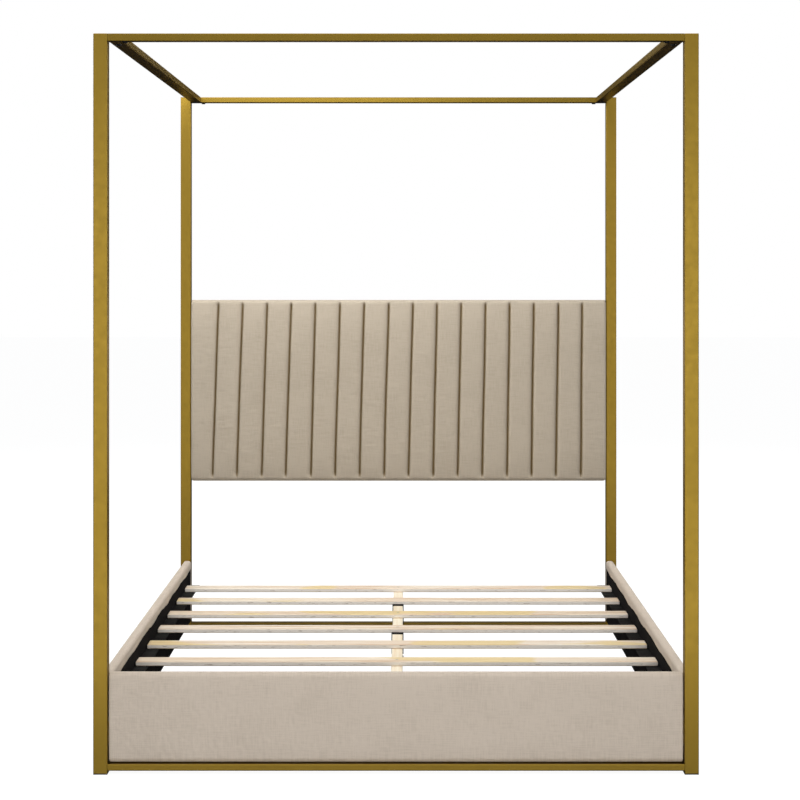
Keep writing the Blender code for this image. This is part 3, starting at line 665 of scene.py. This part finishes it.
def ruffle_hem(points, on_face, edge, run):
    """Makes the hem's lower edge wander a little up and down along the axis run."""
    share = grip(points[:, 2] - edge, *HEM_WANDER_DEPTH) * on_face
    for index in np.flatnonzero(share):
        along = points[index, run]
        broad = noise.noise((along * HEM_WAVES[0], edge, 0.0))
        fine = noise.noise((along * HEM_WAVES[1], edge, 3.0))
        points[index, 2] += HEM_WANDER * share[index] * (broad + 0.5 * fine)


def crown_face(points, sharp, front, pad, crown, ripple, run):
    """Rounds the padded face that looks along -Y or +-X: fuller at mid height, and faintly rippled.

    front is the face's place on its axis, pad the signed depth over which the effect fades, and
    run the number of the level axis that the face lies along.
    """
    axis = 1 - run
    share = grip(np.abs(sharp[:, axis] - front), 0.0, abs(pad))
    low, high = sharp[:, 2].min(), sharp[:, 2].max()
    height = (sharp[:, 2] - low) / (high - low) * 2 - 1
    points[:, axis] += np.sign(pad) * crown * np.abs(height) ** CROWN_SHARPNESS * share
    for index in np.flatnonzero(share > 0.5):
        along_up = sharp[index, [run, 2]]
        broad = noise.noise((*(along_up * RIPPLE_BROAD), front))
        fine = noise.noise((*(along_up * RIPPLE_FINE), front))
        points[index, axis] += np.sign(pad) * ripple * (1 + broad + 0.5 * fine)


def make_footboard(material):
    low, high = node_box("footboard_pad", "footboard_panel")
    low = low - (0, 0, LINEN_GAP)
    high = high + (0, LINEN + LINEN_GAP, 0)
    back = high[1]
    hem = high[2] - FOOTBOARD_HEM

    def is_open(centre):
        return centre[1] > back - FLAT and centre[2] < hem

    lines = slab_lines(low, high, FOOTBOARD_RADII)
    skin, sharp = slab_skin("footboard_linen", lines, FOOTBOARD_RADII, is_open)
    points = read_points(skin)
    crown_face(points, sharp, low[1], CROWN_DEPTH, CROWN, RIPPLE, run=0)
    ruffle_hem(points, back - sharp[:, 1] < FLAT, hem, run=0)
    write_points(skin, points)
    held = np.maximum(grip(back - sharp[:, 1], *HELD_BACK), grip(sharp[:, 2] - low[2], *HELD_BOTTOM))
    settle(skin, held, slack=SLACK, most=MOST)
    dress(skin, material, "footboard_pad", fill=0.9)


def make_side_rail(side, material):
    pad, board = f"side_rail_pad_{side}", f"side_rail_board_{side}"
    low, high = node_box(pad, board)
    outward = 1 if high[0] > 0 else -1
    low = low - (0, 0, LINEN_GAP)
    if outward > 0:
        low[0] -= LINEN + LINEN_GAP
        inner_face = low[0]
    else:
        high[0] += LINEN + LINEN_GAP
        inner_face = high[0]

    def is_open(centre):
        on_inner_face = abs(centre[0] - inner_face) < FLAT
        below_hem = centre[2] < high[2] - HEM
        return on_inner_face and below_hem and abs(centre[1]) < high[1] - END_HEM

    lines = slab_lines(low, high, SIDE_RAIL_RADII)
    skin, sharp = slab_skin(f"side_rail_linen_{side}", lines, SIDE_RAIL_RADII, is_open)
    inward = np.abs(sharp[:, 0] - inner_face)
    points = read_points(skin)
    outer_face = high[0] if outward > 0 else low[0]
    crown_face(points, sharp, outer_face, -outward * CROWN_DEPTH, CROWN, RIPPLE, run=1)
    on_inner_face = (inward < FLAT) & (np.abs(sharp[:, 1]) < high[1] - END_HEM)
    ruffle_hem(points, on_inner_face, high[2] - HEM, run=1)
    write_points(skin, points)
    held = np.maximum(grip(inward, *HELD_INNER), grip(sharp[:, 2] - low[2], *HELD_BOTTOM))
    settle(skin, held, slack=SLACK, most=MOST)
    dress(skin, material, pad, fill=0.9)


def channel_lines(low, high):
    """Columns across the headboard: close together beside each seam, wider over the crowns."""
    pitch = (high - low) / CHANNELS
    half = [*SEAM_STEPS, pitch / 2]
    one = [*half, *(pitch - step for step in reversed(SEAM_STEPS[1:]))]
    columns = [low + channel * pitch + step for channel in range(CHANNELS) for step in one]
    return np.array([*columns, high])


def stitch(path, bottom):
    """A bar of thread that goes up from a height, just in front of the seam's path."""
    corners = []
    for share, thick, into in STITCH_SHAPE:
        height, radius = bottom + STITCH_PITCH * share, STITCH_RADIUS * thick
        x = np.interp(height, path[:, 2], path[:, 0])
        y = np.interp(height, path[:, 2], path[:, 1]) - STITCH_RADIUS + STITCH_RADIUS * into
        for turn in range(STITCH_SIDES):
            angle = 2 * math.pi * turn / STITCH_SIDES
            corners.append((x + radius * math.cos(angle), y + radius * math.sin(angle), height))
    return corners, ring_faces(len(STITCH_SHAPE), STITCH_SIDES)


def add_stitches(name, points, seams):
    """Sewing thread along each seam, as stitches end to end."""
    shapes = []
    for seam in seams:
        path = points[seam][np.argsort(points[seam][:, 2])]
        bottom = path[0, 2]
        for number in range(int((path[-1, 2] - bottom) / STITCH_PITCH)):
            shapes.append(stitch(path, bottom + STITCH_PITCH * number))
    corners, faces = merge(shapes)
    stitches = new_piece(name, corners, faces)
    stitches.data.materials.append(sewing_thread())
    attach(stitches, "bed_frame")


def near_seams(sharp, low, high):
    """For each point of the sharp slab, how it lies to the seam that is nearest to it.

    It gives the seam's number, the distance to it, the side (0 to the seam's left, 1 to its
    right), and the seam's depth there, of 1: it fades towards the seam's ends, and there is none
    at the headboard's two sides or off its padded face.
    """
    pitch = (high[0] - low[0]) / CHANNELS
    across = (sharp[:, 0] - low[0]) / pitch
    nearest = np.round(across)
    is_sewn = (nearest > 0) & (nearest < CHANNELS) & (sharp[:, 1] < low[1] + FLAT)
    from_top = grip(high[2] - sharp[:, 2], *SEAM_TOP)
    from_bottom = grip(sharp[:, 2] - low[2], *SEAM_BOTTOM)
    depth = np.minimum(from_top, from_bottom) * is_sewn
    return nearest, np.abs(across - nearest) * pitch, (across > nearest).astype(int), depth


def lean_and_stray(sharp, low, high):
    """How far each point moves sideways: the seams lean more to the left, and none is quite straight."""
    height = (sharp[:, 2] - low[2]) / (high[2] - low[2]) * 2 - 1
    to_left = np.clip((high[0] - sharp[:, 0]) / (high[0] - low[0]), 0, 1)
    across = (sharp[:, 0] - low[0]) / ((high[0] - low[0]) / CHANNELS)
    inside = np.clip(np.minimum(across, CHANNELS - across), 0, 1)
    rate_across, rate_up = SEAM_WANDER_RATE
    stray = [noise.noise((x * rate_across, z * rate_up, 5.0)) for x, z in zip(across, sharp[:, 2])]
    return inside * (SEAM_LEAN * height * np.sqrt(to_left) + SEAM_WANDER * np.array(stray))


def make_headboard():
    low, high = node_box("headboard_pad", "headboard_panel")
    high = high + (0, LINEN + LINEN_GAP, 0)
    back = high[1]

    def is_open(centre):
        sides = min(centre[0] - low[0], high[0] - centre[0])
        ends = min(centre[2] - low[2], high[2] - centre[2])
        return centre[1] > back - FLAT and min(sides, ends) > HEM

    lines = slab_lines(low, high, HEADBOARD_RADII)
    lines[0] = channel_lines(low[0], high[0])
    skin, sharp = slab_skin("headboard_linen", lines, HEADBOARD_RADII, is_open, HEADBOARD_BACK_RADIUS)
    nearest, from_seam, side, depth = near_seams(sharp, low, high)
    reach, sharpness = np.array(SEAM_REACH)[side], np.array(SEAM_SHARPNESS)[side]
    points = read_points(skin)
    points[:, 1] += SEAM_DEPTH * np.clip(1 - from_seam / reach, 0, 1) ** sharpness * depth
    crown_face(points, sharp, low[1], HEADBOARD_CROWN_DEPTH, HEADBOARD_CROWN, HEADBOARD_RIPPLE, run=0)
    points[:, 0] += lean_and_stray(sharp, low, high)
    write_points(skin, points)
    held = np.maximum(grip(back - sharp[:, 1], *HELD_HEADBOARD), grip(from_seam, *HELD_SEAM) * depth)
    settle(skin, held, slack=HEADBOARD_SLACK, most=HEADBOARD_MOST)
    has_stitches = (from_seam < FLAT / 10) & (depth > STITCH_START)
    seams = [np.flatnonzero(has_stitches & (nearest == number)) for number in range(1, CHANNELS)]
    add_stitches("headboard_stitching", read_points(skin), seams)
    # painted shade for the seams: full at each seam and fading beside it
    seam_shade = skin.data.attributes.new("seam_shade", "FLOAT", "POINT")
    seam_shade.data.foreach_set("value", grip(from_seam, *SEAM_SHADE_SPREAD) * depth)
    # painted shade: the tint darkens the headboard's linen
    linen = beige_linen("beige_linen_channels", "X", HEADBOARD_SHADE_TINT, is_sewn=True)
    dress(skin, linen, "headboard_pad", fill=0.8)


# ---------------------------------------------------------------- small fixings
def merge(shapes):
    """The corners and the faces of many shapes, each given as its corners and its faces."""
    corners, faces = [], []
    for own_corners, own_faces in shapes:
        base = len(corners)
        corners += own_corners
        faces += [tuple(base + index for index in face) for face in own_faces]
    return corners, faces


def add_fixings(name, shapes, material):
    """One piece on the bed's frame from many small shapes."""
    corners, faces = merge(shapes)
    piece = new_piece(name, corners, faces)
    piece.data.materials.append(material)
    piece.data.set_sharp_from_angle(angle=math.radians(CREASE))
    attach(piece, "bed_frame")


def ring_faces(rings, sides):
    """The faces that join rings of corners in turn, and close the first and the last."""
    faces = []
    for ring in range(rings - 1):
        for turn in range(sides):
            one, two = ring * sides + turn, ring * sides + (turn + 1) % sides
            faces.append((one, two, two + sides, one + sides))
    faces.append(tuple(range(sides - 1, -1, -1)))
    faces.append(tuple(range((rings - 1) * sides, rings * sides)))
    return faces


def staple(centre, along, out):
    """A flat wire along one axis, whose ends go down into what it holds."""
    centre, along, out = (np.array(vector, float) for vector in (centre, along, out))
    side = np.cross(out, along) * STAPLE_WIDTH / 2
    corners = []
    for step, rise in STAPLE_PATH:
        top = centre + along * STAPLE_HALF * step + out * STAPLE_RISE * rise
        below = top - out * STAPLE_RISE - along * np.sign(step) * STAPLE_RISE
        corners += [top - side, top + side, below + side, below - side]
    return corners, ring_faces(len(STAPLE_PATH), 4)


def screw_head(centre, out):
    """A round head with a shallow recess, facing along out, which is an axis."""
    out = np.array(out, float)
    across = np.roll(out, 1)
    other = np.cross(out, across)
    corners = []
    for radius, rise in SCREW_PROFILE:
        for turn in range(ROUND_SIDES):
            angle = 2 * math.pi * turn / ROUND_SIDES
            spoke = across * math.cos(angle) + other * math.sin(angle)
            corners.append(np.array(centre) + spoke * radius + out * rise)
    return corners, ring_faces(len(SCREW_PROFILE), ROUND_SIDES)


def weld_bead(start, end):
    """A rippled bead along Y between two points."""
    count = round(abs(end[1] - start[1]) / WELD_RIPPLE) * 2 + 1
    corners = []
    for station, share in enumerate(np.linspace(0, 1, count)):
        centre = np.array(start) * (1 - share) + np.array(end) * share
        taper = WELD_END if station in (0, count - 1) else 1.0
        radius = WELD_RADIUS * taper * (1.0 if station % 2 else WELD_VALLEY)
        for turn in range(WELD_SIDES):
            angle = 2 * math.pi * turn / WELD_SIDES
            corners.append(centre + radius * np.array((math.cos(angle), 0, math.sin(angle))))
    return corners, ring_faces(count, WELD_SIDES)


def add_welds(material):
    """The beads that join the bottom rails to the posts, above and below each end."""
    beads = []
    for end in ("front", "rear"):
        low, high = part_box(f"{end}_bottom_rail")
        for x in (low.x, high.x):
            for z in (low.z, high.z):
                ends = (low.y + 2 * WELD_RADIUS, high.y - 2 * WELD_RADIUS)
                beads.append(weld_bead(*((x, y, z) for y in ends)))
    add_fixings("bottom_rail_welds", beads, material)


def add_ledge_screws(material):
    """Screw heads along each slat ledge, halfway up the wall that stands on the side rail."""
    for side, inward in (("left", 1), ("right", -1)):
        low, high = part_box(f"slat_ledge_{side}")
        face = (low.x if inward > 0 else high.x) + inward * LEDGE_WALL
        height = (low.z + high.z - LEDGE_WALL) / 2
        ys = np.linspace(low.y, high.y, 2 * LEDGE_SCREWS + 1)[1::2]
        heads = [screw_head((face, y, height), (inward, 0, 0)) for y in ys]
        add_fixings(f"ledge_screws_{side}", heads, material)


def staple_row(start, end, out):
    """Staples in a straight row, each lying along the row."""
    start, end = np.array(start, float), np.array(end, float)
    length = np.linalg.norm(end - start)
    along = (end - start) / length
    count = round(length / STAPLE_PITCH)
    shares = [(number + 0.5) / count for number in range(count)]
    return [staple(start + along * length * share, along, out) for share in shares]


def make_back_cloth(material, steel):
    """Thin black lining stapled over the headboard's back and over the linen's hem."""
    low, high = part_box("headboard_back_cloth")
    outer = high.y
    xs = np.linspace(low.x, high.x, round((high.x - low.x) / CLOTH_CELL) + 1)
    zs = np.linspace(low.z, high.z, round((high.z - low.z) / CLOTH_CELL) + 1)
    corners = []
    for z in zs:
        for x in xs:
            edge = min(x - low.x, high.x - x, z - low.z, high.z - z)
            sag = CLOTH_SAG * float(np.clip((edge - STAPLE_INSET) / HEM, 0, 1))
            broad = noise.noise((x * CLOTH_WAVES[0], z * CLOTH_WAVES[0], 2.0))
            fine = noise.noise((x * CLOTH_WAVES[1], z * CLOTH_WAVES[1], 4.0))
            corners.append((x, outer - sag * (1 + 0.3 * broad + 0.2 * fine), z))
    row = len(xs)
    faces = [(k * row + j + 1, k * row + j, (k + 1) * row + j, (k + 1) * row + j + 1)
             for k in range(len(zs) - 1) for j in range(row - 1)]
    cloth = new_piece("headboard_lining", corners, faces)
    cloth.data.materials.append(material)
    thicken(cloth, CLOTH_THICK)
    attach(cloth, "bed_frame")
    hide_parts("headboard_back_cloth")
    left, right = low.x + STAPLE_INSET, high.x - STAPLE_INSET
    bottom, top = low.z + STAPLE_INSET, high.z - STAPLE_INSET
    rows = (
        ((left, outer, bottom), (right, outer, bottom)),
        ((left, outer, top), (right, outer, top)),
        ((left, outer, bottom), (left, outer, top)),
        ((right, outer, bottom), (right, outer, top)),
    )
    staples = [one for start, end in rows for one in staple_row(start, end, (0, 1, 0))]
    add_fixings("headboard_staples", staples, steel)


def main():
    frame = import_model()
    bpy.context.scene.view_settings.view_transform = "Standard"
    add_camera()
    add_world()
    for name, settings in LIGHTS.items():
        add_light(name, *settings)
    add_floor()
    finishes = finish_frame(frame)
    across_linen = beige_linen("beige_linen_across", "X")
    along_linen = beige_linen("beige_linen_along", "Y")
    make_footboard(across_linen)
    make_headboard()
    for side in ("left", "right"):
        make_side_rail(side, along_linen)
    make_back_cloth(finishes["black_cloth"], finishes["screw_steel"])
    add_ledge_screws(finishes["screw_steel"])
    add_welds(finishes["gold_metal"])
    bpy.context.view_layer.update()


main()
